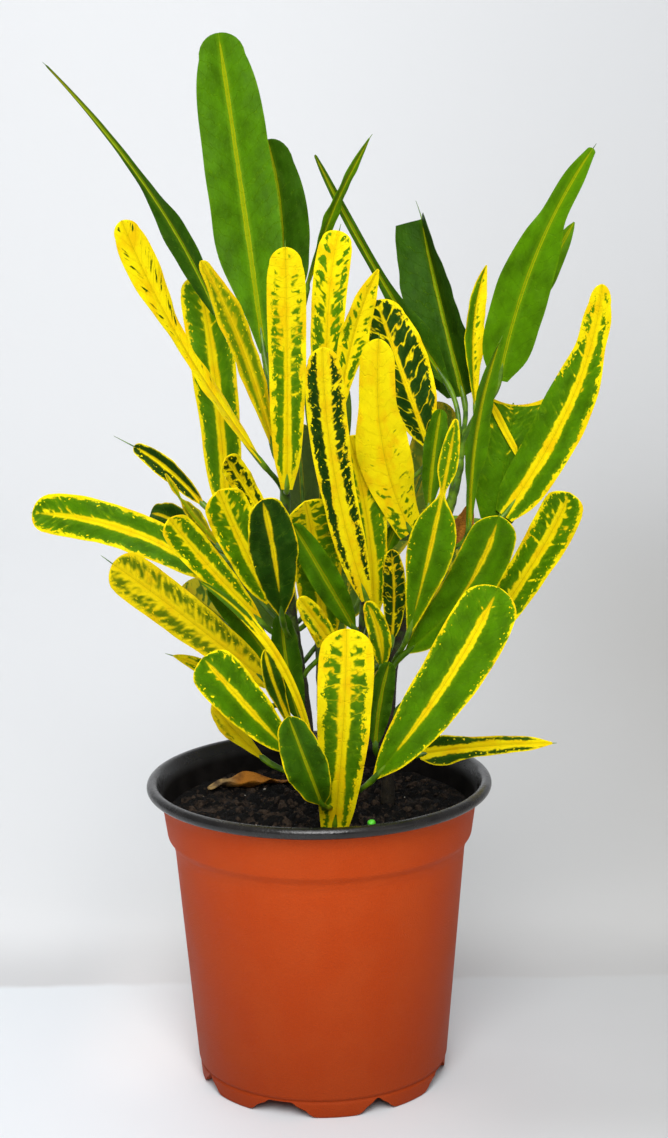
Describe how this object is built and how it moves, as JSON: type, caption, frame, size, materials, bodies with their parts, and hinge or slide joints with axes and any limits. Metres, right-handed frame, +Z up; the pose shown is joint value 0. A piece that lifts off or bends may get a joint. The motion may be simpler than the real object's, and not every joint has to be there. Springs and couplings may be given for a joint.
{
  "type": "potted croton plant",
  "caption": "Leafy house plant with upright strap leaves in yellow and green, growing in a round tapered plastic nursery pot with a rolled lip, soil and a dry fallen leaf.",
  "frame": {"origin": "centre of the whole plant's box at the level the pot stands on, which is the pot's axis to within a few millimetres", "axes": "+Z up along the pot's axis, -Y toward the plant's front, +X to its right as seen from the front"},
  "size_m": [0.2344, 0.1403, 0.4227],
  "materials": {
    "pot": "matte",
    "soil": "matte",
    "dry_leaf": "matte",
    "foliage": "satin"
  },
  "bodies": {
    "root": {"pot": "pot", "soil": "soil", "fallen_leaf": "dry_leaf", "leafy_stem_left": "foliage", "leafy_stem_centre": "foliage", "leafy_stem_right": "foliage", "leafy_stem_front": "foliage", "leafy_stem_back": "foliage"}
  },
  "joints": []
}
